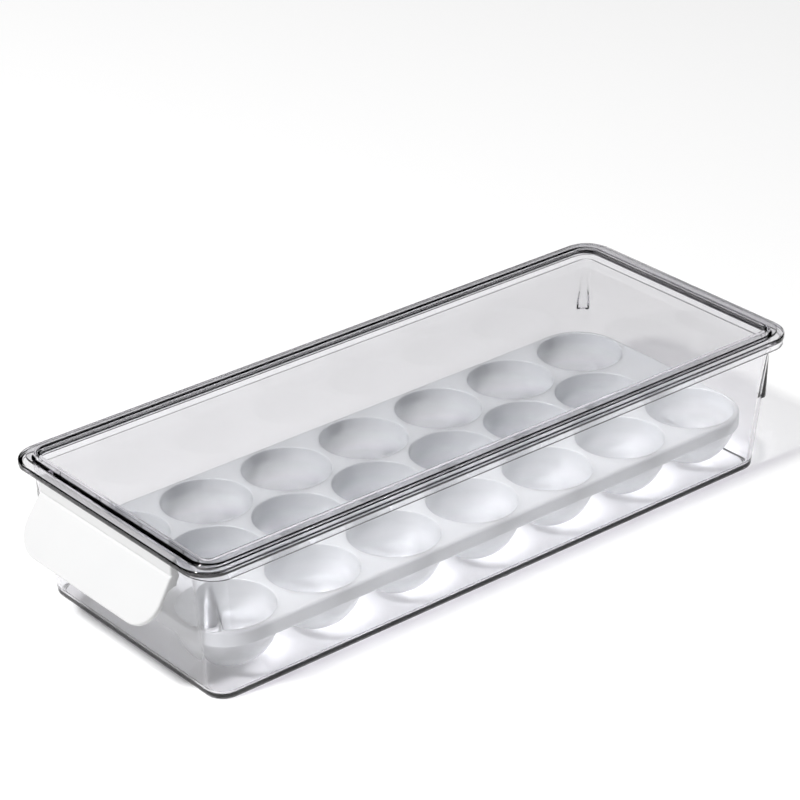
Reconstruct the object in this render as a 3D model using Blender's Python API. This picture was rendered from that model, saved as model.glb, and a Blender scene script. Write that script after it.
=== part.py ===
"""Egg holder tray: clear bin with a pull handle, lift-out egg tray and lift-off stacking lid.

Metres, +Z up. The origin is the centre of the bin's base, on the surface it stands on.
The length runs along Y with the pull handle at -Y, and the width along X.
"""
import math

import bmesh
import bpy
from mathutils import Vector
from mathutils.geometry import delaunay_2d_cdt

MM = 0.001
GAP = 0.3 * MM                    # clearance between pieces that rest on each other
EDGE = 0.4 * MM                   # small bevel on moulded edges
SHARP_ANGLE = 35                  # degrees; flatter edges are shaded smooth
WELD_DISTANCE = 0.002 * MM

# Bin
BASE_HALF_X = 68.3 * MM           # outer half sizes of the base
BASE_HALF_Y = 175.0 * MM
BASE_RADIUS = 10.0 * MM
WALL_TOP_HALF_X = 72.6 * MM       # outer half sizes of the wall just under the rim
WALL_TOP_HALF_Y = 182.6 * MM
WALL_TOP_RADIUS = 12.0 * MM
WALL = 2.2 * MM
FLOOR_TOP = 2.0 * MM
FOOT_WIDTH = 3.0 * MM             # from the base's edge in to the groove round the underside
GROOVE_WIDTH = 2.0 * MM
GROOVE_DEPTH = 0.8 * MM
BASE_EDGE = 1.0 * MM              # bevel round the bottom edge
FLANGE_HALF_X = 77.5 * MM
FLANGE_HALF_Y = 189.0 * MM
FLANGE_RADIUS = 15.5 * MM
FLANGE_TOP = 75.5 * MM
FLANGE_THICKNESS = 3.0 * MM
LIP_DEPTH = 3.0 * MM              # down-turned lip below the flange on the sides and the back
LIP_STEP = 0.4 * MM
LIP_THICKNESS = 1.8 * MM
LIP_FRONT_DEPTH = 0.1 * MM        # what is left of the lip along the front, where the handle fits
FIN_TOP = 66.0 * MM               # denesting fins on the corners
FIN_BOTTOM = 40.0 * MM
FIN_DEPTH = 2.0 * MM
CORNER_ANGLES = (0, 12, 23, 27, 36, 45, 54, 63, 67, 78, 90)
FIN_ANGLES = (27, 63)

# Lid
LID_HALF_X = 74.0 * MM
LID_HALF_Y = 185.0 * MM
LID_RADIUS = 12.0 * MM
LID_RING_WIDTH = 7.0 * MM
LID_RING_THICKNESS = 1.3 * MM
LID_WALL = 1.8 * MM
LID_PANEL_DEPTH = 5.6 * MM        # from the ring's top down to the panel's top
LID_PANEL_THICKNESS = 1.7 * MM
LID_DRAFT = 0.6 * MM

# Egg tray
CUP_ROW_X = 41.0 * MM
CUP_PITCH = 49.7 * MM
SIDE_ROW_CUPS = 7
MIDDLE_ROW_CUPS = 6
CUP_RADIUS = 22.6 * MM
TRAY_WALL = 1.0 * MM
TRAY_HALF_X = 66.3 * MM
TRAY_HALF_Y = 174.0 * MM
TRAY_RADIUS = 24.0 * MM
WEB_TOP = 32.0 * MM
SKIRT_BOTTOM = 24.0 * MM
SHOULDER = 2.0 * MM
CUP_SEGMENTS = 14
BOWL_RINGS = 4

# Pull handle
HANDLE_HALF_TOP = 52.0 * MM       # half widths at the crease and at the lower edge
HANDLE_HALF_BOTTOM = 53.6 * MM
HANDLE_CORNER = 15.0 * MM
HANDLE_THICKNESS = 2.6 * MM
COLLAR_Y = -187.0 * MM            # outer face above the crease
COLLAR_DEPTH = 4.0 * MM           # from that face back towards the bin's wall
COLLAR_ROOF = 2.2 * MM
CREASE_Y = -187.3 * MM
CREASE_Z = 65.3 * MM
HANDLE_BOTTOM_Y = -202.8 * MM
HANDLE_BOTTOM_Z = 41.5 * MM
CHEEK_DEPTH = 5.9 * MM            # end cheeks below the crease, and where they start and stop shrinking
CHEEK_START = 3.0 * MM
CHEEK_END = 8.0 * MM
CHEEK_STEPS = 4
HANDLE_CORNER_STEPS = 6


def clear_scene():
    for item in list(bpy.data.objects):
        bpy.data.objects.remove(item, do_unlink=True)


def add_material(obj, name, color, roughness, alpha=1.0):
    material = bpy.data.materials.new(name)
    material.use_nodes = True
    shader = material.node_tree.nodes["Principled BSDF"]
    shader.inputs["Base Color"].default_value = (*color, 1.0)
    shader.inputs["Roughness"].default_value = roughness
    shader.inputs["Metallic"].default_value = 0.0
    shader.inputs["Alpha"].default_value = alpha
    material.diffuse_color = (*color, alpha)
    obj.data.materials.append(material)


def add_object(name, points, faces):
    mesh = bpy.data.meshes.new(name)
    mesh.from_pydata([tuple(point) for point in points], [], faces)
    mesh.validate()
    mesh.shade_smooth()
    mesh.set_sharp_from_angle(angle=math.radians(SHARP_ANGLE))
    obj = bpy.data.objects.new(name, mesh)
    bpy.context.scene.collection.objects.link(obj)
    return obj


def weld(obj):
    """Joins points that coincide, where the cheeks have shrunk into the plate."""
    mesh = bmesh.new()
    mesh.from_mesh(obj.data)
    bmesh.ops.remove_doubles(mesh, verts=mesh.verts, dist=WELD_DISTANCE)
    bmesh.ops.recalc_face_normals(mesh, faces=mesh.faces)
    mesh.to_mesh(obj.data)
    mesh.free()


def rounded_loop(half_x, half_y, radius, z, push=0.0, front_z=None):
    """Counter-clockwise rounded rectangle.

    push moves each corner's middle outwards, and front_z gives the front edge another height.
    """
    points = []
    corners = ((1, 1, 0), (-1, 1, 90), (-1, -1, 180), (1, -1, 270))
    for side_x, side_y, start in corners:
        for angle in CORNER_ANGLES:
            turn = math.radians(start + angle)
            reach = radius
            if FIN_ANGLES[0] <= angle <= FIN_ANGLES[1]:
                reach += push
            x = side_x * (half_x - radius) + reach * math.cos(turn)
            y = side_y * (half_y - radius) + reach * math.sin(turn)
            height = z
            if front_z is not None and side_y < 0:
                from_front = abs(start + angle - 270) / 90
                height = front_z + (z - front_z) * from_front
            points.append(Vector((x, y, height)))
    return points


def loft(name, loops):
    """Closed body through loops that run from the underside's middle round to the inside's middle."""
    count = len(loops[0])
    points = [point for loop in loops for point in loop]
    faces = [tuple(reversed(range(count)))]
    for row in range(len(loops) - 1):
        low = row * count
        high = low + count
        for i in range(count):
            j = (i + 1) % count
            faces.append((low + i, low + j, high + j, high + i))
    last = (len(loops) - 1) * count
    faces.append(tuple(range(last, last + count)))
    return add_object(name, points, faces)


def wall_size(z):
    """Outer half sizes and corner radius of the bin's sloped wall at a height."""
    share = z / (FLANGE_TOP - FLANGE_THICKNESS)
    half_x = BASE_HALF_X + (WALL_TOP_HALF_X - BASE_HALF_X) * share
    half_y = BASE_HALF_Y + (WALL_TOP_HALF_Y - BASE_HALF_Y) * share
    radius = BASE_RADIUS + (WALL_TOP_RADIUS - BASE_RADIUS) * share
    return half_x, half_y, radius


def wall_loop(z, inset=0.0, push=0.0):
    half_x, half_y, radius = wall_size(z)
    return rounded_loop(half_x - inset, half_y - inset, radius - inset, z, push)


def flange_loop(z, inset=0.0, front_z=None):
    half_x = FLANGE_HALF_X - inset
    half_y = FLANGE_HALF_Y - inset
    return rounded_loop(half_x, half_y, FLANGE_RADIUS - inset, z, front_z=front_z)


def build_bin():
    under = FLANGE_TOP - FLANGE_THICKNESS
    lip_bottom = under - LIP_DEPTH
    lip_front = under - LIP_FRONT_DEPTH
    groove_outer = FOOT_WIDTH + EDGE
    groove_inner = FOOT_WIDTH + GROOVE_WIDTH - EDGE
    mouth = [Vector((p.x, p.y, FLANGE_TOP)) for p in wall_loop(under, WALL)]
    loops = [
        wall_loop(0.0, FOOT_WIDTH + GROOVE_WIDTH),
        wall_loop(GROOVE_DEPTH, groove_inner),
        wall_loop(GROOVE_DEPTH, groove_outer),
        wall_loop(0.0, FOOT_WIDTH),
        wall_loop(0.0, BASE_EDGE),
        wall_loop(BASE_EDGE),
        wall_loop(FIN_BOTTOM),
        wall_loop(FIN_BOTTOM, push=FIN_DEPTH),
        wall_loop(FIN_TOP),
        wall_loop(under),
        flange_loop(under, LIP_STEP + LIP_THICKNESS),
        flange_loop(lip_bottom, LIP_STEP + LIP_THICKNESS, front_z=lip_front),
        flange_loop(lip_bottom, LIP_STEP, front_z=lip_front),
        flange_loop(under, LIP_STEP),
        flange_loop(under + EDGE),
        flange_loop(FLANGE_TOP - EDGE),
        flange_loop(FLANGE_TOP, EDGE),
        mouth,
        wall_loop(under, WALL),
        wall_loop(FLOOR_TOP + BASE_EDGE, WALL),
        wall_loop(FLOOR_TOP, WALL + BASE_EDGE),
    ]
    obj = loft("clear_bin", loops)
    add_material(obj, "clear_plastic_bin", (0.93, 0.94, 0.95), 0.05, alpha=0.25)
    return obj


def lid_loop(inset, z):
    return rounded_loop(LID_HALF_X - inset, LID_HALF_Y - inset, LID_RADIUS - inset, z)


def build_lid():
    ring_bottom = FLANGE_TOP + GAP
    ring_top = ring_bottom + LID_RING_THICKNESS
    panel_top = ring_top - LID_PANEL_DEPTH
    panel_bottom = panel_top - LID_PANEL_THICKNESS
    outer_wall = LID_RING_WIDTH - LID_WALL
    loops = [
        lid_loop(outer_wall + LID_DRAFT + EDGE, panel_bottom),
        lid_loop(outer_wall + LID_DRAFT, panel_bottom + EDGE),
        lid_loop(outer_wall, ring_bottom),
        lid_loop(0.0, ring_bottom),
        lid_loop(0.0, ring_top - EDGE),
        lid_loop(EDGE, ring_top),
        lid_loop(LID_RING_WIDTH - EDGE, ring_top),
        lid_loop(LID_RING_WIDTH, ring_top - EDGE),
        lid_loop(LID_RING_WIDTH + LID_DRAFT, panel_top),
    ]
    obj = loft("clear_lid", loops)
    add_material(obj, "clear_plastic_lid", (0.93, 0.94, 0.95), 0.05, alpha=0.25)
    return obj


def cup_centres():
    """Staggered rows: the middle row sits half a pitch off the two side rows."""
    rows = ((-CUP_ROW_X, SIDE_ROW_CUPS), (0.0, MIDDLE_ROW_CUPS), (CUP_ROW_X, SIDE_ROW_CUPS))
    centres = []
    for x, count in rows:
        for k in range(count):
            centres.append((x, (k - (count - 1) / 2) * CUP_PITCH))
    return centres


def cup_ring(centre, radius, z):
    turns = [2 * math.pi * i / CUP_SEGMENTS for i in range(CUP_SEGMENTS)]
    return [Vector((centre[0] + radius * math.cos(a), centre[1] + radius * math.sin(a), z)) for a in turns]


def bowl_rings(centre, radius, top, ball_z):
    """Rings of one bowl below its mouth: a straight side and then a hemisphere, without its pole."""
    rings = [cup_ring(centre, radius, ball_z)]
    for k in range(1, BOWL_RINGS):
        slope = math.pi / 2 * k / BOWL_RINGS
        rings.append(cup_ring(centre, radius * math.cos(slope), ball_z - radius * math.sin(slope)))
    return [cup_ring(centre, radius, top)] + rings


class ShellBuilder:
    """Collects points and faces of the tray's thin shell."""

    def __init__(self):
        self.points = []
        self.faces = []

    def add_loop(self, loop):
        start = len(self.points)
        self.points.extend(loop)
        return list(range(start, start + len(loop)))

    def bridge(self, first, second):
        count = len(first)
        for i in range(count):
            j = (i + 1) % count
            self.faces.append((first[i], first[j], second[j], second[i]))

    def add_bowl(self, centre, radius, top, ball_z, facing_up):
        """Adds a bowl and returns the indices of its mouth."""
        loops = [self.add_loop(ring) for ring in bowl_rings(centre, radius, top, ball_z)]
        pole = self.add_loop([Vector((centre[0], centre[1], ball_z - radius))])[0]
        if not facing_up:
            loops = [list(reversed(loop)) for loop in loops]
        for upper, lower in zip(loops, loops[1:]):
            self.bridge(upper, lower)
        last = loops[-1]
        for i in range(CUP_SEGMENTS):
            self.faces.append((last[i], last[(i + 1) % CUP_SEGMENTS], pole))
        return loops[0]

    def add_web(self, outline, mouths, centres, radius, facing_up):
        """Fills the plate between an outline and the cups' mouths."""
        order = outline + [index for mouth in mouths for index in mouth]
        place = {index: n for n, index in enumerate(order)}
        edges = []
        for loop in [outline] + mouths:
            edges += [(place[loop[i]], place[loop[(i + 1) % len(loop)]]) for i in range(len(loop))]
        flat = [self.points[index].to_2d() for index in order]
        result = delaunay_2d_cdt(flat, edges, [], 0, 1e-7, True)
        sources = [ids[0] for ids in result[3]]
        inner = radius * math.cos(math.pi / CUP_SEGMENTS)
        for face in result[2]:
            corners = [flat[sources[v]] for v in face]
            middle = (corners[0] + corners[1] + corners[2]) / 3
            if any((middle - Vector(centre)).length < inner for centre in centres):
                continue
            turn = (corners[1] - corners[0]).cross(corners[2] - corners[0])
            indices = [order[sources[v]] for v in face]
            if (turn > 0) != facing_up:
                indices.reverse()
            self.faces.append(tuple(indices))


def tray_loop(inset, z):
    return rounded_loop(TRAY_HALF_X - inset, TRAY_HALF_Y - inset, TRAY_RADIUS - inset, z)


def build_tray():
    """The cups' inner faces join the web's top and their outer faces its underside."""
    shell = ShellBuilder()
    centres = cup_centres()
    outer_radius = CUP_RADIUS + TRAY_WALL
    ball_z = FLOOR_TOP + GAP + outer_radius
    web_bottom = WEB_TOP - TRAY_WALL
    bend = SHOULDER * (1 - math.sqrt(0.5))
    inner_mouths = [shell.add_bowl(c, CUP_RADIUS, WEB_TOP, ball_z, True) for c in centres]
    outer_mouths = [shell.add_bowl(c, outer_radius, web_bottom, ball_z, False) for c in centres]
    inner_skirt = shell.add_loop(tray_loop(TRAY_WALL, web_bottom))
    inner_edge = shell.add_loop(tray_loop(TRAY_WALL, SKIRT_BOTTOM))
    outer_edge = shell.add_loop(tray_loop(0.0, SKIRT_BOTTOM))
    outer_side = shell.add_loop(tray_loop(0.0, WEB_TOP - SHOULDER))
    outer_bend = shell.add_loop(tray_loop(bend, WEB_TOP - bend))
    top_edge = shell.add_loop(tray_loop(SHOULDER, WEB_TOP))
    for first, second in ((inner_skirt, inner_edge), (inner_edge, outer_edge), (outer_edge, outer_side),
                          (outer_side, outer_bend), (outer_bend, top_edge)):
        shell.bridge(first, second)
    shell.add_web(top_edge, inner_mouths, centres, CUP_RADIUS, True)
    shell.add_web(inner_skirt, outer_mouths, centres, outer_radius, False)
    obj = add_object("egg_tray", shell.points, shell.faces)
    add_material(obj, "frosted_tray", (0.90, 0.91, 0.93), 0.45, alpha=0.75)
    return obj


def face_length():
    return math.hypot(HANDLE_BOTTOM_Y - CREASE_Y, HANDLE_BOTTOM_Z - CREASE_Z)


def face_distances():
    """Distances down the handle's face from the crease where a cross-section is set."""
    distances = [0.0]
    distances += [CHEEK_START + (CHEEK_END - CHEEK_START) * k / CHEEK_STEPS for k in range(CHEEK_STEPS + 1)]
    for k in range(HANDLE_CORNER_STEPS + 1):
        turn = math.pi / 2 * k / HANDLE_CORNER_STEPS
        distances.append(face_length() - HANDLE_CORNER * (1 - math.sin(turn)))
    return distances


def face_half_width(distance):
    """Widening from the crease, with rounded lower corners."""
    half = HANDLE_HALF_TOP + (HANDLE_HALF_BOTTOM - HANDLE_HALF_TOP) * distance / face_length()
    into_corner = distance - (face_length() - HANDLE_CORNER)
    if into_corner > 0:
        half -= HANDLE_CORNER - math.sqrt(max(0.0, HANDLE_CORNER ** 2 - into_corner ** 2))
    return half


def cheek_depth(distance):
    """Depth of the end cheeks, which curve in to the plate's own thickness."""
    share = (distance - CHEEK_START) / (CHEEK_END - CHEEK_START)
    share = min(1.0, max(0.0, share))
    return HANDLE_THICKNESS + (CHEEK_DEPTH - HANDLE_THICKNESS) * (1 - share) ** 2


def handle_section(half, depth, y, z, back):
    """Channel cross-section: the face with a cheek at each end, pointing along back."""
    inner = half - HANDLE_THICKNESS
    corners = ((-half, depth), (-half, 0.0), (half, 0.0), (half, depth),
               (inner, depth), (inner, HANDLE_THICKNESS), (-inner, HANDLE_THICKNESS), (-inner, depth))
    return [Vector((x, y + back[0] * inward, z + back[1] * inward)) for x, inward in corners]


def handle_sections():
    """Cross-sections from under the collar's roof down to the lower edge."""
    roof_z = FLANGE_TOP - FLANGE_THICKNESS - LIP_FRONT_DEPTH - GAP - COLLAR_ROOF
    along_y = (HANDLE_BOTTOM_Y - CREASE_Y) / face_length()
    along_z = (HANDLE_BOTTOM_Z - CREASE_Z) / face_length()
    face_back = (-along_z, along_y)
    sections = [
        handle_section(HANDLE_HALF_TOP, COLLAR_DEPTH, COLLAR_Y, roof_z, (1.0, 0.0)),
        handle_section(HANDLE_HALF_TOP, COLLAR_DEPTH, COLLAR_Y, CREASE_Z + HANDLE_THICKNESS / 2, (1.0, 0.0)),
    ]
    for distance in face_distances():
        y = CREASE_Y + along_y * distance
        z = CREASE_Z + along_z * distance
        depth = cheek_depth(distance)
        back = face_back
        if distance == 0.0:
            depth = (COLLAR_DEPTH + CHEEK_DEPTH) / 2
            back = Vector((1.0 + face_back[0], face_back[1])).normalized()
        sections.append(handle_section(face_half_width(distance), depth, y, z, back))
    return sections


def build_handle():
    """Collar with a flat roof, and a pull that flares down and out from it."""
    sections = handle_sections()
    roof = [Vector((p.x, p.y, p.z + COLLAR_ROOF)) for p in sections[0][:4]]
    points = roof + [point for section in sections for point in section]
    ring = len(sections[0])
    faces = [(0, 1, 2, 3), (1, 0, 4, 5), (2, 1, 5, 6), (3, 2, 6, 7), (0, 3, 7, 8, 11, 4), (8, 9, 10, 11)]
    for n in range(len(sections) - 1):
        low = len(roof) + n * ring
        for i in range(ring):
            j = (i + 1) % ring
            faces.append((low + j, low + i, low + ring + i, low + ring + j))
    last = len(points) - ring
    faces.append(tuple(reversed(range(last, last + ring))))
    obj = add_object("pull_handle", points, faces)
    weld(obj)
    add_material(obj, "white_soft_plastic", (0.90, 0.90, 0.90), 0.45)
    return obj


clear_scene()
build_bin()
build_lid()
build_tray()
build_handle()
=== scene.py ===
"""Looks of the egg holder tray: clear bin, clear stacking lid, frosted egg tray and white pull handle."""
import math
import bmesh
import bpy
from mathutils import Matrix, Vector
from mathutils.geometry import delaunay_2d_cdt


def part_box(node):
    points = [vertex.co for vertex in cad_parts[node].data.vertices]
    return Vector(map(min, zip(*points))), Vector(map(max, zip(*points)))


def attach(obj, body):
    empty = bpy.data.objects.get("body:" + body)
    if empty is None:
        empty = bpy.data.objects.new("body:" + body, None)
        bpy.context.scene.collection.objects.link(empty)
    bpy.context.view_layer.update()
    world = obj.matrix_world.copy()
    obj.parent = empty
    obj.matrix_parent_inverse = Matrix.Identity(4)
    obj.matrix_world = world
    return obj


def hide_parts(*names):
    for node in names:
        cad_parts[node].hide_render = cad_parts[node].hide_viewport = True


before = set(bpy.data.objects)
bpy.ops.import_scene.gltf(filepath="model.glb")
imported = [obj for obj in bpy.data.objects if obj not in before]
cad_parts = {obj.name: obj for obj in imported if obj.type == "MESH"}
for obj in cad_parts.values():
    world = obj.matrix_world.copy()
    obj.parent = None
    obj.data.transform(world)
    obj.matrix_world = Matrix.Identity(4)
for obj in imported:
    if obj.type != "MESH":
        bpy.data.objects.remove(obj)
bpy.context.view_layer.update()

MM = 0.001

# Corners of the frame's nodes
BIN_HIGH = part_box("clear_bin")[1]
LID_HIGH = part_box("clear_lid")[1]
TRAY_LOW, TRAY_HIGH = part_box("egg_tray")
HANDLE_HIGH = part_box("pull_handle")[1]

# Bin
BASE_HALF_X = 68.3 * MM
BASE_HALF_Y = 175.0 * MM
BASE_RADIUS = 10.0 * MM
WALL_TOP_HALF_X = 72.6 * MM
WALL_TOP_HALF_Y = 182.6 * MM
WALL_TOP_RADIUS = 12.0 * MM
WALL = 2.2 * MM
FLOOR_TOP = 2.0 * MM
FOOT_WIDTH = 3.0 * MM
GROOVE_WIDTH = 2.0 * MM
GROOVE_DEPTH = 0.8 * MM
GROOVE_SLOPE = 0.4 * MM
BASE_EDGE = 1.9 * MM
FLOOR_FILLET = 3.0 * MM
FLANGE_RADIUS = 15.5 * MM
FLANGE_THICKNESS = 3.0 * MM
FLANGE_EDGE = 0.9 * MM
MOUTH_EDGE = 1.6 * MM
LIP_DEPTH = 3.0 * MM
LIP_STEP = 0.4 * MM
LIP_THICKNESS = 1.8 * MM
LIP_EDGE = 0.3 * MM
FLANGE_ROOT = 0.35 * MM
LIP_FRONT_DEPTH = 0.1 * MM
LIP_FRONT_RISE = 0.05 * MM         # the lip's outer edge is this much shallower along the front
LIP_ROOT_WIDTH = 0.5 * MM          # small chamfer where the lip meets the flange
LIP_ROOT_DEPTH = 0.1 * MM
LIP_STEP_ROOT = 0.05 * MM          # from the flange down to the lip's outer face
GATE_WIDTH = 3.0 * MM              # small mark at the middle of each long bottom edge
GATE_DEPTH = 0.9 * MM
GATE_HEIGHT = 0.7 * MM
FIN_TOP = 66.0 * MM
FIN_BOTTOM = 40.0 * MM
FIN_DEPTH = 1.9 * MM
FIN_HALF_WIDTH = 19.0              # degrees round the corner, at the fin's bottom
FIN_TAPER = 0.6                    # how fast a fin widens below its point
FIN_SHELF = 0.4 * MM               # height of the step under a fin
FIN_RINGS = 14
INNER_WALL_RING = 40.0 * MM        # height of an extra ring on the inner wall

# Lid
LID_RADIUS = 12.0 * MM
RING_WIDTH = 7.0 * MM
RING_THICKNESS = 1.3 * MM
RING_EDGE = 0.3 * MM
RING_INNER_EDGE = 0.5 * MM
RING_ROOT = 0.25 * MM
LID_CORNER = 0.35 * MM
PANEL_FILLET = 0.8 * MM
LID_WALL = 1.8 * MM
RIB_X = (-48.7 * MM, -16.3 * MM, 16.3 * MM, 48.7 * MM)
RIB_WIDTH = 2.6 * MM
RIB_DEPTH = 0.7 * MM
RIB_HEIGHT = 2.6 * MM
RIB_GAP = 0.05 * MM
PANEL_DEPTH = 5.6 * MM
PANEL_THICKNESS = 1.7 * MM
LID_DRAFT = 0.6 * MM

# Egg tray
CUP_ROW_X = 41.0 * MM
CUP_PITCH = 49.7 * MM
SIDE_ROW_CUPS = 7
MIDDLE_ROW_CUPS = 6
CUP_RADIUS = 22.6 * MM
TRAY_WALL = 1.0 * MM
TRAY_RADIUS = 24.0 * MM
SKIRT_BOTTOM = 24.0 * MM
SHOULDER = 1.6 * MM
MOUTH_FILLET = 0.6 * MM
OUTER_FILLET = 0.3 * MM
MOUTH_STEPS = 3
BOWL_THIN_Z = 14.0 * MM            # the plastic is most see-through below this height
BOWL_THICK_Z = 26.0 * MM           # and least above this one
CUP_SEGMENTS = 56
BOWL_RINGS = 14
INSIDE_MOUTH = 0.995               # share of a mouth's radius in which the web's triangles are left out
WEB_TOLERANCE = 1e-7

# Pull handle
HANDLE_HALF_TOP = 52.0 * MM
HANDLE_HALF_BOTTOM = 53.6 * MM
HANDLE_CORNER = 15.0 * MM
HANDLE_TOP_CORNER = 1.2 * MM
HANDLE_THICKNESS = 2.6 * MM
HANDLE_EDGE = 1.0 * MM
CHEEK_EDGE = 0.6 * MM
COLLAR_Y = -187.3 * MM
COLLAR_DEPTH = 4.0 * MM
CREASE_Z = 65.3 * MM
CREASE_GROOVE = 0.6 * MM           # shallow groove along the bend
CREASE_HALF_WIDTH = 1.2 * MM
CREASE_HALF_LENGTH = 1.3 * MM      # half of the bend between collar and face, along the surface
FACE_SLOPE = 33.07                 # degrees from the vertical
FACE_LENGTH = 28.6 * MM
CHEEK_DEPTH = 5.9 * MM
CHEEK_START = 3.0 * MM
CHEEK_END = 8.0 * MM
SMALLEST_CORNER = 0.1 * MM
TOP_CORNER_STEPS = 5
SIDE_STEPS = 72
LOWER_CORNER_STEPS = 18
FACE_EDGE_STEPS = 5
CHEEK_EDGE_STEPS = 4
INNER_EDGE_STEPS = 3

# Camera
CAMERA_AZIMUTH = 50.37
CAMERA_ELEVATION = 27.24
CAMERA_ROLL = -0.70
CAMERA_DISTANCE = 1.526
CAMERA_LENS = 136.65
TARGET_RIGHT = -8.4 * MM           # point looked at, from the origin, along the camera's right and up
TARGET_UP = 62.6 * MM

# Clear plastic
CLEAR_COLOR = (0.99, 0.99, 0.995)
CLEAR_SHADE = 0.985                # brightness of the duller patches
CLEAR_IOR = 1.52
CLEAR_ROUGHNESS = 0.035            # of the strongest handling marks
CLEAR_PASS = (0.925, 0.926, 0.928) # share of passing light that one surface lets through
EDGE_TINT = (0.77, 0.75, 0.79)     # body colour, seen along the edges
EDGE_DENSITY = 85.0

# Frosted plastic. Pairs are for the bowls' bottoms and for the tray above them.
FROST_COLOR = (0.925, 0.933, 0.942)
FROST_SHADE = (0.90, 0.91, 0.922)
FROST_ROUGHNESS = (0.13, 0.20)
FROST_GRAIN = 0.012                # roughness added and taken away by the etching
FROST_CLARITY = (0.86, 0.42)
FROST_IOR = 1.35
FROST_MILKINESS = 0.22
FROST_PASS = (0.86, 0.863, 0.867)

# Soft white plastic
SOFT_COLOR = (0.71, 0.71, 0.71)
SOFT_SHADE = (0.69, 0.692, 0.695)
SOFT_ROUGHNESS = (0.38, 0.5)
SOFT_IOR = 1.45

# Studio
FLOOR_GAP = 0.15 * MM              # keeps the base's underside off the floor plane
FLOOR_HALF = 3.0
FLOOR_COLOR = (0.93, 0.93, 0.93)
FLOOR_SHADE = (0.925, 0.925, 0.925)
FLOOR_GLOW = 0.09                  # a light table under the object
OVERHEAD_START = 0.80              # height on the sky, where 1 is straight up
OVERHEAD_FULL = 0.90
OVERHEAD_STRENGTH = 1.1

# Mesh
CORNER_STEPS = 24
SMALLEST_RADIUS = 0.2 * MM         # of an outline's corner
WELD_DISTANCE = 0.005 * MM


# ---------------------------------------------------------------- materials

def new_material(name):
    material = bpy.data.materials.new(name)
    material.use_nodes = True
    return material, material.node_tree, material.node_tree.nodes["Principled BSDF"]


def noise(tree, scale, detail=3.0, stretch=None):
    """Noise in the object's own coordinates, in metres."""
    nodes = tree.nodes
    coordinates = nodes.new("ShaderNodeTexCoord")
    texture = nodes.new("ShaderNodeTexNoise")
    texture.inputs["Scale"].default_value = scale
    texture.inputs["Detail"].default_value = detail
    source = coordinates.outputs["Object"]
    if stretch:
        mapping = nodes.new("ShaderNodeMapping")
        mapping.inputs["Scale"].default_value = stretch
        tree.links.new(source, mapping.inputs["Vector"])
        source = mapping.outputs["Vector"]
    tree.links.new(source, texture.inputs["Vector"])
    return texture.outputs["Fac"]


def spread(tree, factor, low, high):
    """Maps a factor's middle range onto low to high."""
    node = tree.nodes.new("ShaderNodeMapRange")
    node.inputs["From Min"].default_value = 0.3
    node.inputs["From Max"].default_value = 0.7
    node.inputs["To Min"].default_value = low
    node.inputs["To Max"].default_value = high
    tree.links.new(factor, node.inputs["Value"])
    return node.outputs["Result"]


def between(tree, factor, low, high):
    """Maps a factor of 0 to 1 onto low to high."""
    node = tree.nodes.new("ShaderNodeMapRange")
    node.inputs["To Min"].default_value = low
    node.inputs["To Max"].default_value = high
    tree.links.new(factor, node.inputs["Value"])
    return node.outputs["Result"]


def height_share(tree, low, high):
    """0 at and below the height low on the object, 1 at and above high."""
    coordinates = tree.nodes.new("ShaderNodeTexCoord")
    split = tree.nodes.new("ShaderNodeSeparateXYZ")
    node = tree.nodes.new("ShaderNodeMapRange")
    node.inputs["From Min"].default_value = low
    node.inputs["From Max"].default_value = high
    tree.links.new(coordinates.outputs["Object"], split.inputs["Vector"])
    tree.links.new(split.outputs["Z"], node.inputs["Value"])
    return node.outputs["Result"]


def add(tree, first, second):
    node = tree.nodes.new("ShaderNodeMath")
    node.operation = "ADD"
    tree.links.new(first, node.inputs[0])
    tree.links.new(second, node.inputs[1])
    return node.outputs["Value"]


def tint(tree, factor, first, second):
    node = tree.nodes.new("ShaderNodeMix")
    node.data_type = "RGBA"
    node.inputs["A"].default_value = (*first, 1.0)
    node.inputs["B"].default_value = (*second, 1.0)
    tree.links.new(factor, node.inputs["Factor"])
    return node.outputs["Result"]


def bump(tree, shader, height, strength, distance):
    node = tree.nodes.new("ShaderNodeBump")
    node.inputs["Strength"].default_value = strength
    node.inputs["Distance"].default_value = distance
    tree.links.new(height, node.inputs["Height"])
    tree.links.new(node.outputs["Normal"], shader.inputs["Normal"])


def let_light_through(material, surface, color, bounced):
    """Lamps, and bounced light if asked, pass straight through, so that what is behind the plastic is lit."""
    tree = material.node_tree
    path = tree.nodes.new("ShaderNodeLightPath")
    passes = path.outputs["Is Shadow Ray"]
    if bounced:
        either = tree.nodes.new("ShaderNodeMath")
        either.operation = "MAXIMUM"
        tree.links.new(passes, either.inputs[0])
        tree.links.new(path.outputs["Is Diffuse Ray"], either.inputs[1])
        passes = either.outputs["Value"]
    clear = tree.nodes.new("ShaderNodeBsdfTransparent")
    clear.inputs["Color"].default_value = (*color, 1.0)
    mix = tree.nodes.new("ShaderNodeMixShader")
    tree.links.new(passes, mix.inputs["Fac"])
    tree.links.new(surface, mix.inputs[1])
    tree.links.new(clear.outputs["BSDF"], mix.inputs[2])
    tree.links.new(mix.outputs["Shader"], tree.nodes["Material Output"].inputs["Surface"])


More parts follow.
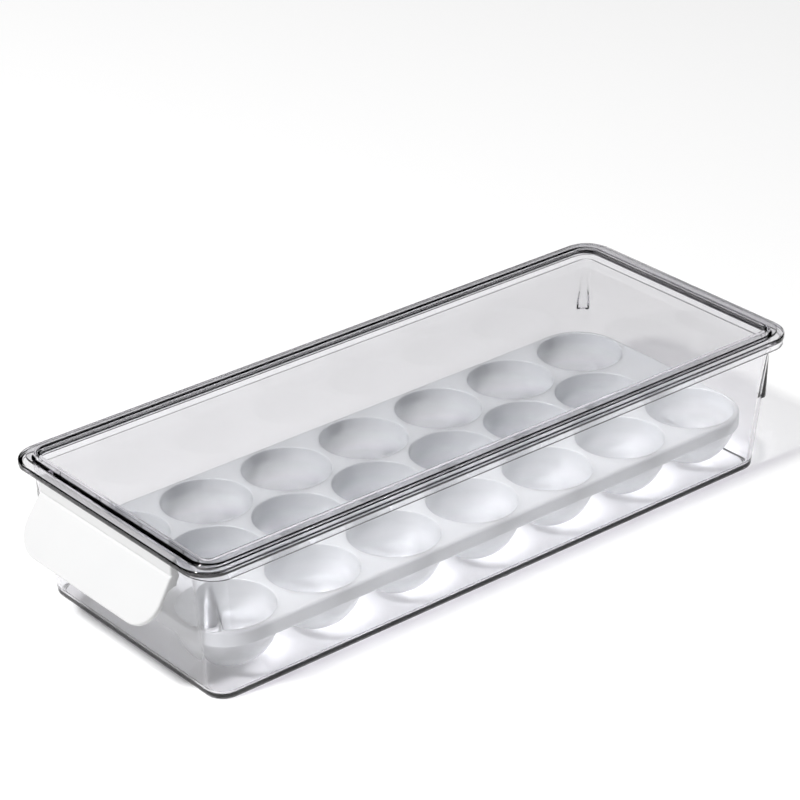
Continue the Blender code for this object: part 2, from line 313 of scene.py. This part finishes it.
def clear_plastic(name):
    """Polished clear plastic: faint handling marks in the gloss and a slight moulding ripple."""
    material, tree, shader = new_material(name)
    let_light_through(material, shader.outputs["BSDF"], CLEAR_PASS, bounced=True)
    marks = noise(tree, scale=60.0, detail=6.0, stretch=(1.0, 0.15, 1.0))
    cloud = spread(tree, noise(tree, scale=9.0), 0.0, 1.0)
    shade = tint(tree, cloud, CLEAR_COLOR, tuple(c * CLEAR_SHADE for c in CLEAR_COLOR))
    tree.links.new(shade, shader.inputs["Base Color"])
    tree.links.new(spread(tree, marks, 0.0, CLEAR_ROUGHNESS), shader.inputs["Roughness"])
    shader.inputs["IOR"].default_value = CLEAR_IOR
    shader.inputs["Transmission Weight"].default_value = 1.0
    body = tree.nodes.new("ShaderNodeVolumeAbsorption")
    body.inputs["Color"].default_value = (*EDGE_TINT, 1.0)
    body.inputs["Density"].default_value = EDGE_DENSITY
    tree.links.new(body.outputs["Volume"], tree.nodes["Material Output"].inputs["Volume"])
    bump(tree, shader, noise(tree, scale=14.0, detail=1.0), strength=0.03, distance=0.4 * MM)
    return material


def frosted_plastic():
    """Thin milky plastic: light soaks through it, and its surface is finely etched."""
    material, tree, shader = new_material("frosted_plastic")
    cloud = spread(tree, noise(tree, scale=35.0), 0.0, 1.0)
    shade = tint(tree, cloud, FROST_COLOR, FROST_SHADE)
    tree.links.new(shade, shader.inputs["Base Color"])
    thick = height_share(tree, BOWL_THIN_Z, BOWL_THICK_Z)
    grain = spread(tree, noise(tree, scale=420.0), -FROST_GRAIN, FROST_GRAIN)
    roughness = add(tree, between(tree, thick, *FROST_ROUGHNESS), grain)
    tree.links.new(roughness, shader.inputs["Roughness"])
    shader.inputs["IOR"].default_value = FROST_IOR
    tree.links.new(between(tree, thick, *FROST_CLARITY), shader.inputs["Transmission Weight"])
    glow = tree.nodes.new("ShaderNodeBsdfTranslucent")
    tree.links.new(shade, glow.inputs["Color"])
    milky = tree.nodes.new("ShaderNodeMixShader")
    milky.inputs["Fac"].default_value = FROST_MILKINESS
    tree.links.new(shader.outputs["BSDF"], milky.inputs[1])
    tree.links.new(glow.outputs["BSDF"], milky.inputs[2])
    let_light_through(material, milky.outputs["Shader"], FROST_PASS, bounced=False)
    bump(tree, shader, noise(tree, scale=1600.0), strength=0.12, distance=0.05 * MM)
    return material


def soft_white_plastic():
    """Satin white soft-touch plastic with a fine moulded grain."""
    material, tree, shader = new_material("soft_white_plastic")
    cloud = spread(tree, noise(tree, scale=30.0), 0.0, 1.0)
    shade = tint(tree, cloud, SOFT_COLOR, SOFT_SHADE)
    tree.links.new(shade, shader.inputs["Base Color"])
    tree.links.new(spread(tree, noise(tree, scale=700.0), *SOFT_ROUGHNESS), shader.inputs["Roughness"])
    shader.inputs["IOR"].default_value = SOFT_IOR
    bump(tree, shader, noise(tree, scale=2600.0), strength=0.15, distance=0.04 * MM)
    return material


def floor_material():
    material, tree, shader = new_material("studio_floor")
    cloud = spread(tree, noise(tree, scale=3.0), 0.0, 1.0)
    shade = tint(tree, cloud, FLOOR_COLOR, FLOOR_SHADE)
    tree.links.new(shade, shader.inputs["Base Color"])
    shader.inputs["Roughness"].default_value = 0.6
    shader.inputs["Specular IOR Level"].default_value = 0.2
    shader.inputs["Emission Color"].default_value = (1.0, 1.0, 1.0, 1.0)
    shader.inputs["Emission Strength"].default_value = FLOOR_GLOW
    return material


# ---------------------------------------------------------------- mesh tools

class Outline:
    """Rounded rectangle, centred on the origin, by its half sizes and corner radius."""

    def __init__(self, half_x, half_y, radius):
        self.half_x = half_x
        self.half_y = half_y
        self.radius = radius

    def loop(self, inset, z, push=None, front_z=None):
        """Counter-clockwise points. push(degrees from the corner's middle) moves the corner outwards.

        front_z is the height along the front, and the front corners run between it and z.
        """
        radius = max(self.radius - inset, SMALLEST_RADIUS)
        mid_x = self.half_x - inset - radius
        mid_y = self.half_y - inset - radius
        points = []
        for side_x, side_y, start in ((1, 1, 0), (-1, 1, 90), (-1, -1, 180), (1, -1, 270)):
            for step in range(CORNER_STEPS + 1):
                angle = 90 * step / CORNER_STEPS
                turn = math.radians(start + angle)
                reach = radius + (push(angle - 45) if push else 0.0)
                height = z
                if front_z is not None and side_y < 0:
                    from_front = abs(start + angle - 270) / 90
                    height = front_z + (z - front_z) * from_front
                x = side_x * mid_x + reach * math.cos(turn)
                y = side_y * mid_y + reach * math.sin(turn)
                points.append(Vector((x, y, height)))
        return points


def edge_arc(inset, z, radius, start, stop, steps=5):
    """(inset, z) pairs round an arc whose centre is at inset, z. 0 degrees points outwards and 90 up."""
    pairs = []
    for k in range(steps + 1):
        turn = math.radians(start + (stop - start) * k / steps)
        pairs.append((inset - radius * math.cos(turn), z + radius * math.sin(turn)))
    return pairs


def add_piece(name, points, faces, material, sharp=40):
    mesh = bpy.data.meshes.new(name)
    mesh.from_pydata([tuple(point) for point in points], [], faces)
    mesh.validate()
    mesh.shade_smooth()
    mesh.set_sharp_from_angle(angle=math.radians(sharp))
    mesh.materials.append(material)
    piece = bpy.data.objects.new(name, mesh)
    bpy.context.scene.collection.objects.link(piece)
    return piece


def weld(piece):
    """Joins points that coincide and turns every face outwards."""
    mesh = bmesh.new()
    mesh.from_mesh(piece.data)
    bmesh.ops.remove_doubles(mesh, verts=mesh.verts, dist=WELD_DISTANCE)
    bmesh.ops.recalc_face_normals(mesh, faces=mesh.faces)
    mesh.to_mesh(piece.data)
    mesh.free()


def flatten_normals(piece):
    """Keeps large flat faces flat in the shading beside their rounded edges."""
    modifier = piece.modifiers.new("flat_face_normals", "WEIGHTED_NORMAL")
    modifier.mode = "FACE_AREA"
    modifier.weight = 80
    modifier.keep_sharp = True


def loft_loops(name, loops, material):
    """Closed body through loops from the underside's middle round to the inside's middle."""
    count = len(loops[0])
    points = [point for loop in loops for point in loop]
    faces = [tuple(reversed(range(count)))]
    for row in range(len(loops) - 1):
        low = row * count
        high = low + count
        for i in range(count):
            j = (i + 1) % count
            faces.append((low + i, low + j, high + j, high + i))
    last = (len(loops) - 1) * count
    faces.append(tuple(range(last, last + count)))
    piece = add_piece(name, points, faces, material)
    flatten_normals(piece)
    return piece


def add_blocks(piece, blocks):
    """Adds small closed blocks, given by centre and size, to a piece's mesh."""
    mesh = bmesh.new()
    mesh.from_mesh(piece.data)
    for centre, size in blocks:
        place = Matrix.Translation(centre) @ Matrix.Diagonal((*size, 1.0))
        bmesh.ops.create_cube(mesh, size=1.0, matrix=place)
    mesh.to_mesh(piece.data)
    mesh.free()


# ---------------------------------------------------------------- bin

def wall_outline(z):
    share = z / (BIN_HIGH.z - FLANGE_THICKNESS)
    return Outline(
        BASE_HALF_X + (WALL_TOP_HALF_X - BASE_HALF_X) * share,
        BASE_HALF_Y + (WALL_TOP_HALF_Y - BASE_HALF_Y) * share,
        BASE_RADIUS + (WALL_TOP_RADIUS - BASE_RADIUS) * share,
    )


def fin_push(share):
    """Rounded fin across a corner: share is 0 at its pointed top and 1 at its flat bottom."""
    width = FIN_HALF_WIDTH * share ** FIN_TAPER
    depth = FIN_DEPTH * share

    def push(degrees):
        off = abs(degrees) / width if width > 0 else 1.0
        return depth * math.sqrt(1 - off ** 2) if off < 1 else 0.0

    return push


def bin_loops():
    top = BIN_HIGH.z
    under = top - FLANGE_THICKNESS
    lip_bottom = under - LIP_DEPTH
    lip_front = under - LIP_FRONT_DEPTH
    flange = Outline(BIN_HIGH.x, BIN_HIGH.y, FLANGE_RADIUS)
    loops = []

    def wall(pairs):
        for inset, z in pairs:
            loops.append(wall_outline(z).loop(inset, z))

    # underside with its groove, and bottom edge
    wall([(FOOT_WIDTH + GROOVE_WIDTH, 0.0), (FOOT_WIDTH + GROOVE_WIDTH - GROOVE_SLOPE, GROOVE_DEPTH)])
    wall([(FOOT_WIDTH + GROOVE_SLOPE, GROOVE_DEPTH), (FOOT_WIDTH, 0.0)])
    wall(edge_arc(BASE_EDGE, BASE_EDGE, BASE_EDGE, -90, 0, 6))
    # outer wall, with a fin down each corner
    wall([(0.0, FIN_BOTTOM - FIN_SHELF)])
    for k in range(FIN_RINGS, -1, -1):
        share = k / FIN_RINGS
        z = FIN_TOP + (FIN_BOTTOM - FIN_TOP) * share
        loops.append(wall_outline(z).loop(0.0, z, push=fin_push(share)))
    wall(edge_arc(-FLANGE_ROOT, under - FLANGE_ROOT, FLANGE_ROOT, 180, 90, 4))

    def rim(pairs, front=None):
        for inset, z in pairs:
            loops.append(flange.loop(inset, z, front_z=front))

    # down-turned lip, fading out along the front
    lip_inner = LIP_STEP + LIP_THICKNESS
    rim([(lip_inner + LIP_ROOT_WIDTH, under), (lip_inner, under - LIP_ROOT_DEPTH)])
    for inset, z in edge_arc(lip_inner - LIP_EDGE, lip_bottom + LIP_EDGE, LIP_EDGE, 180, 270, 3):
        rim([(inset, z)], lip_front)
    for inset, z in edge_arc(LIP_STEP + LIP_EDGE, lip_bottom + LIP_EDGE, LIP_EDGE, -90, 0, 4):
        rim([(inset, z)], lip_front + LIP_FRONT_RISE)
    rim([(LIP_STEP, under - LIP_STEP_ROOT)])
    # flange edge and top
    rim(edge_arc(FLANGE_EDGE, under + FLANGE_EDGE, FLANGE_EDGE, -60, 0, 4))
    rim(edge_arc(FLANGE_EDGE, top - FLANGE_EDGE, FLANGE_EDGE, 0, 90, 6))
    # mouth, inner wall and floor
    wall(edge_arc(WALL - MOUTH_EDGE, top - MOUTH_EDGE, MOUTH_EDGE, 90, 180, 8))
    wall([(WALL, under), (WALL, INNER_WALL_RING)])
    for inset, z in edge_arc(WALL + FLOOR_FILLET, FLOOR_TOP + FLOOR_FILLET, FLOOR_FILLET, 0, -90, 8):
        wall([(inset, z)])
    return loops


def build_bin(material):
    piece = loft_loops("bin_shell", bin_loops(), material)
    size = Vector((GATE_DEPTH, GATE_WIDTH, GATE_HEIGHT))
    out = BASE_HALF_X - BASE_EDGE + GATE_DEPTH
    add_blocks(piece, [(Vector((side * out, 0.0, GATE_HEIGHT)), size) for side in (-1, 1)])
    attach(piece, "bin")
    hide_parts("clear_bin")


# ---------------------------------------------------------------- lid

def build_lid(material):
    outline = Outline(LID_HIGH.x, LID_HIGH.y, LID_RADIUS)
    ring_top = LID_HIGH.z
    ring_bottom = ring_top - RING_THICKNESS
    panel_top = ring_top - PANEL_DEPTH
    panel_bottom = panel_top - PANEL_THICKNESS
    outer_wall = RING_WIDTH - LID_WALL
    corner_inset = outer_wall + LID_DRAFT + LID_CORNER
    fillet_inset = RING_WIDTH + LID_DRAFT + PANEL_FILLET
    pairs = edge_arc(corner_inset, panel_bottom + LID_CORNER, LID_CORNER, -90, 0, 4)
    pairs += edge_arc(outer_wall - RING_ROOT, ring_bottom - RING_ROOT, RING_ROOT, 180, 90, 3)
    pairs += edge_arc(RING_EDGE, ring_bottom + RING_EDGE, RING_EDGE, -90, 0, 3)
    pairs += edge_arc(RING_EDGE, ring_top - RING_EDGE, RING_EDGE, 0, 90, 4)
    pairs += edge_arc(RING_WIDTH - RING_INNER_EDGE, ring_top - RING_INNER_EDGE, RING_INNER_EDGE, 90, 180, 5)
    pairs += edge_arc(fillet_inset, panel_top + PANEL_FILLET, PANEL_FILLET, 0, -90, 5)
    loops = [outline.loop(inset, z) for inset, z in pairs]
    piece = loft_loops("stacking_lid", loops, material)
    size = Vector((RIB_WIDTH, RIB_DEPTH, RIB_HEIGHT))
    wall_y = RING_WIDTH + LID_DRAFT + RIB_DEPTH - LID_HIGH.y
    middle_z = panel_top + RIB_HEIGHT / 2 + RIB_GAP
    add_blocks(piece, [(Vector((x, wall_y, middle_z)), size) for x in RIB_X])
    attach(piece, "lid")
    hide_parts("clear_lid")


# ---------------------------------------------------------------- egg tray

def cup_centres():
    centres = []
    for x, count in ((-CUP_ROW_X, SIDE_ROW_CUPS), (0.0, MIDDLE_ROW_CUPS), (CUP_ROW_X, SIDE_ROW_CUPS)):
        for k in range(count):
            centres.append(Vector((x, (k - (count - 1) / 2) * CUP_PITCH)))
    return centres


class Shell:
    """Points and faces of the tray's thin shell."""

    def __init__(self):
        self.points = []
        self.faces = []

    def add_loop(self, loop):
        start = len(self.points)
        self.points.extend(loop)
        return list(range(start, start + len(loop)))

    def bridge(self, first, second):
        for i in range(len(first)):
            j = (i + 1) % len(first)
            self.faces.append((first[i], first[j], second[j], second[i]))

    def add_bowl(self, centre, profile, facing_up):
        """Turned bowl through (radius, z) pairs from its mouth down to its pole. Returns its mouth."""
        turns = [2 * math.pi * i / CUP_SEGMENTS for i in range(CUP_SEGMENTS)]
        loops = []
        for radius, z in profile[:-1]:
            ring = [(centre.x + radius * math.cos(a), centre.y + radius * math.sin(a), z) for a in turns]
            indices = self.add_loop([Vector(point) for point in ring])
            loops.append(indices if facing_up else list(reversed(indices)))
        pole = self.add_loop([Vector((centre.x, centre.y, profile[-1][1]))])[0]
        for upper, lower in zip(loops, loops[1:]):
            self.bridge(upper, lower)
        last = loops[-1]
        for i in range(CUP_SEGMENTS):
            self.faces.append((last[i], last[(i + 1) % CUP_SEGMENTS], pole))
        return loops[0]

    def add_web(self, outline, mouths, centres, radius, facing_up):
        """Fills the flat plate between an outline and the cups' mouths."""
        order = outline + [index for mouth in mouths for index in mouth]
        place = {index: n for n, index in enumerate(order)}
        edges = []
        for loop in [outline] + mouths:
            edges += [(place[loop[i]], place[loop[(i + 1) % len(loop)]]) for i in range(len(loop))]
        flat = [self.points[index].to_2d() for index in order]
        result = delaunay_2d_cdt(flat, edges, [], 0, WEB_TOLERANCE, True)
        sources = [ids[0] for ids in result[3]]
        for face in result[2]:
            corners = [flat[sources[v]] for v in face]
            middle = (corners[0] + corners[1] + corners[2]) / 3
            if any((middle - centre).length < radius * INSIDE_MOUTH for centre in centres):
                continue
            turn = (corners[1] - corners[0]).cross(corners[2] - corners[0])
            indices = [order[sources[v]] for v in face]
            if (turn > 0) != facing_up:
                indices.reverse()
            self.faces.append(tuple(indices))


def bowl_profile(radius, mouth_z, fillet, ball_z):
    """(radius, z) pairs of a bowl: rounded mouth, straight side and hemisphere."""
    pairs = []
    for k in range(MOUTH_STEPS + 1):
        turn = math.radians(90 * k / MOUTH_STEPS)
        pairs.append((radius + fillet * (1 - math.sin(turn)), mouth_z - fillet * (1 - math.cos(turn))))
    for k in range(BOWL_RINGS + 1):
        turn = math.pi / 2 * k / BOWL_RINGS
        pairs.append((radius * math.cos(turn), ball_z - radius * math.sin(turn)))
    return pairs


def build_tray(material):
    shell = Shell()
    centres = cup_centres()
    web_top = TRAY_HIGH.z
    web_bottom = web_top - TRAY_WALL
    outer_radius = CUP_RADIUS + TRAY_WALL
    ball_z = TRAY_LOW.z + outer_radius
    inside = bowl_profile(CUP_RADIUS, web_top, MOUTH_FILLET, ball_z)
    outside = bowl_profile(outer_radius, web_bottom, OUTER_FILLET, ball_z)
    inner_mouths = [shell.add_bowl(c, inside, True) for c in centres]
    outer_mouths = [shell.add_bowl(c, outside, False) for c in centres]
    outline = Outline(TRAY_HIGH.x, TRAY_HIGH.y, TRAY_RADIUS)
    half_wall = TRAY_WALL / 2
    pairs = [(TRAY_WALL, web_bottom)]
    pairs += edge_arc(half_wall, SKIRT_BOTTOM + half_wall, half_wall, 180, 360, 6)
    pairs += edge_arc(SHOULDER, web_top - SHOULDER, SHOULDER, 0, 90, 6)
    skirt = [shell.add_loop(outline.loop(inset, z)) for inset, z in pairs]
    for first, second in zip(skirt, skirt[1:]):
        shell.bridge(first, second)
    shell.add_web(skirt[-1], inner_mouths, centres, CUP_RADIUS + MOUTH_FILLET, True)
    shell.add_web(skirt[0], outer_mouths, centres, outer_radius + OUTER_FILLET, False)
    piece = add_piece("egg_cup_tray", shell.points, shell.faces, material, sharp=60)
    flatten_normals(piece)
    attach(piece, "tray")
    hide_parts("egg_tray")


# ---------------------------------------------------------------- pull handle

def handle_surface(distance):
    """Point and backward direction in the YZ plane, at a distance down the outer face from the crease."""
    slope = math.radians(FACE_SLOPE)
    bend = CREASE_HALF_LENGTH
    radius = 2 * bend / slope
    turned = min(max((distance + bend) / (2 * bend), 0.0), 1.0) * slope
    y = COLLAR_Y - radius * (1 - math.cos(turned))
    z = CREASE_Z + bend - radius * math.sin(turned)
    straight = max(distance - bend, 0.0)
    y -= straight * math.sin(turned)
    z -= straight * math.cos(turned)
    off = min(abs(distance) / CREASE_HALF_WIDTH, 1.0)
    y += CREASE_GROOVE * math.cos(math.pi / 2 * off) ** 2
    z += max(-bend - distance, 0.0)
    return Vector((y, z)), Vector((math.cos(turned), -math.sin(turned)))


def handle_half_width(distance):
    share = max(distance, 0.0) / FACE_LENGTH
    return HANDLE_HALF_TOP + (HANDLE_HALF_BOTTOM - HANDLE_HALF_TOP) * share


def cheek_depth(distance):
    """How far the handle's rim reaches back: the collar, then the end cheeks, then only the plate."""
    share = min(max((distance - CHEEK_START) / (CHEEK_END - CHEEK_START), 0.0), 1.0)
    depth = HANDLE_THICKNESS + (CHEEK_DEPTH - HANDLE_THICKNESS) * (1 - share) ** 2
    up = min(max((CHEEK_START - distance) / (2 * CHEEK_START), 0.0), 1.0)
    return depth + (COLLAR_DEPTH - CHEEK_DEPTH) * up


def handle_side(inset):
    """Right half of the outline, top to bottom, as (x, distance down the face)."""
    top = HANDLE_HIGH.z
    collar = top - CREASE_Z
    corner = max(HANDLE_TOP_CORNER - inset, SMALLEST_CORNER)
    side = []
    for k in range(TOP_CORNER_STEPS + 1):
        turn = math.radians(90 - 90 * k / TOP_CORNER_STEPS)
        x = HANDLE_HALF_TOP - inset - corner + corner * math.cos(turn)
        side.append((x, -collar + inset + corner - corner * math.sin(turn)))
    start = -collar + HANDLE_TOP_CORNER + HANDLE_THICKNESS
    stop = FACE_LENGTH - HANDLE_CORNER
    for k in range(1, SIDE_STEPS):
        distance = start + (stop - start) * k / SIDE_STEPS
        side.append((handle_half_width(distance) - inset, distance))
    corner = HANDLE_CORNER - inset
    middle_x = handle_half_width(stop) - HANDLE_CORNER
    for k in range(LOWER_CORNER_STEPS + 1):
        turn = math.radians(90 * k / LOWER_CORNER_STEPS)
        side.append((middle_x + corner * math.cos(turn), stop + corner * math.sin(turn)))
    return side


def handle_layers(depth):
    """(inset, depth) pairs across the rim, from the outer face round to the back of the plate."""
    inner_edge = min(CHEEK_EDGE, (depth - HANDLE_THICKNESS) / 2)
    pairs = []
    for k in range(FACE_EDGE_STEPS + 1):
        turn = math.radians(90 * k / FACE_EDGE_STEPS)
        pairs.append((HANDLE_EDGE * (1 - math.sin(turn)), HANDLE_EDGE * (1 - math.cos(turn))))
    for k in range(CHEEK_EDGE_STEPS + 1):
        turn = math.radians(90 * k / CHEEK_EDGE_STEPS)
        pairs.append((CHEEK_EDGE * (1 - math.cos(turn)), depth - CHEEK_EDGE * (1 - math.sin(turn))))
    for k in range(INNER_EDGE_STEPS + 1):
        turn = math.radians(90 * k / INNER_EDGE_STEPS)
        inset = HANDLE_THICKNESS - inner_edge * (1 - math.sin(turn))
        pairs.append((inset, depth - inner_edge * (1 - math.cos(turn))))
    pairs.append((HANDLE_THICKNESS, HANDLE_THICKNESS))
    return pairs


def build_handle(material):
    """Shallow channel: each layer of its rim is a loop round the outline, and strips close the two faces."""
    outer = handle_side(0.0)
    layer_count = len(handle_layers(CHEEK_DEPTH))
    side_count = len(outer)
    points = []
    for layer in range(layer_count):
        right = []
        for n in range(side_count):
            inset, depth = handle_layers(cheek_depth(outer[n][1]))[layer]
            x, distance = handle_side(inset)[n]
            place, back = handle_surface(distance)
            right.append(Vector((x, place.x + back.x * depth, place.y + back.y * depth)))
        points += right + [Vector((-p.x, p.y, p.z)) for p in reversed(right)]
    count = 2 * side_count
    faces = []
    for layer in range(layer_count - 1):
        low = layer * count
        for i in range(count):
            j = (i + 1) % count
            faces.append((low + i, low + j, low + count + j, low + count + i))
    last = (layer_count - 1) * count
    for n in range(side_count - 1):
        left = count - 1 - n
        faces.append((n, left, left - 1, n + 1))
        faces.append((last + n + 1, last + left - 1, last + left, last + n))
    piece = add_piece("front_pull", points, faces, material, sharp=50)
    weld(piece)
    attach(piece, "bin")
    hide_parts("pull_handle")


# ---------------------------------------------------------------- studio

def add_floor():
    mesh = bpy.data.meshes.new("floor")
    signs = ((-1, -1), (1, -1), (1, 1), (-1, 1))
    corners = [(x * FLOOR_HALF, y * FLOOR_HALF, -FLOOR_GAP) for x, y in signs]
    mesh.from_pydata(corners, [], [(0, 1, 2, 3)])
    mesh.materials.append(floor_material())
    floor = bpy.data.objects.new("floor", mesh)
    bpy.context.scene.collection.objects.link(floor)


def camera_axes():
    azimuth = math.radians(CAMERA_AZIMUTH)
    elevation = math.radians(CAMERA_ELEVATION)
    back = Vector((math.sin(azimuth) * math.cos(elevation), -math.cos(azimuth) * math.cos(elevation),
                   math.sin(elevation)))
    right = Vector((math.cos(azimuth), math.sin(azimuth), 0.0))
    up = back.cross(right)
    roll = math.radians(CAMERA_ROLL)
    tilted_right = math.cos(roll) * right + math.sin(roll) * up
    tilted_up = math.cos(roll) * up - math.sin(roll) * right
    return tilted_right, tilted_up, back


def add_camera():
    right, up, back = camera_axes()
    place = right * TARGET_RIGHT + up * TARGET_UP + back * CAMERA_DISTANCE
    camera = bpy.data.objects.new("camera", bpy.data.cameras.new("camera"))
    camera.data.lens = CAMERA_LENS
    camera.data.sensor_width = 36.0
    camera.data.clip_start = 0.05
    camera.matrix_world = Matrix((
        (right.x, up.x, back.x, place.x),
        (right.y, up.y, back.y, place.y),
        (right.z, up.z, back.z, place.z),
        (0.0, 0.0, 0.0, 1.0),
    ))
    bpy.context.scene.collection.objects.link(camera)
    bpy.context.scene.camera = camera


def add_softbox(name, azimuth, elevation, distance, size, power):
    """Square area light facing the object. Azimuth 0 is in front of the handle and 90 on the +X side."""
    light = bpy.data.lights.new(name, "AREA")
    light.shape = "SQUARE"
    light.size = size
    light.energy = power
    turn = math.radians(azimuth)
    tilt = math.radians(elevation)
    away = Vector((math.sin(turn) * math.cos(tilt), -math.cos(turn) * math.cos(tilt), math.sin(tilt)))
    lamp = bpy.data.objects.new(name, light)
    lamp.location = away * distance
    lamp.rotation_euler = away.to_track_quat("Z", "Y").to_euler()
    bpy.context.scene.collection.objects.link(lamp)


def add_surroundings():
    """Black all round, which shows as dark lines in the clear edges, with a bright patch overhead."""
    world = bpy.data.worlds.new("studio")
    world.use_nodes = True
    tree = world.node_tree
    background = tree.nodes["Background"]
    coordinates = tree.nodes.new("ShaderNodeTexCoord")
    split = tree.nodes.new("ShaderNodeSeparateXYZ")
    ramp = tree.nodes.new("ShaderNodeValToRGB")
    stops = ((OVERHEAD_START, 0.0), (OVERHEAD_FULL, 1.0))
    for element, (height, shade) in zip(ramp.color_ramp.elements, stops):
        element.position = height
        element.color = (shade, shade, shade, 1.0)
    tree.links.new(coordinates.outputs["Generated"], split.inputs["Vector"])
    tree.links.new(split.outputs["Z"], ramp.inputs["Fac"])
    tree.links.new(ramp.outputs["Color"], background.inputs["Color"])
    background.inputs["Strength"].default_value = OVERHEAD_STRENGTH
    bpy.context.scene.world = world


bpy.context.scene.view_settings.view_transform = "Standard"
build_bin(clear_plastic("clear_bin_plastic"))
build_lid(clear_plastic("clear_lid_plastic"))
build_tray(frosted_plastic())
build_handle(soft_white_plastic())
add_floor()
add_surroundings()
add_softbox("front_softbox", azimuth=0.0, elevation=56.0, distance=4.0, size=0.4, power=157.0)
add_camera()
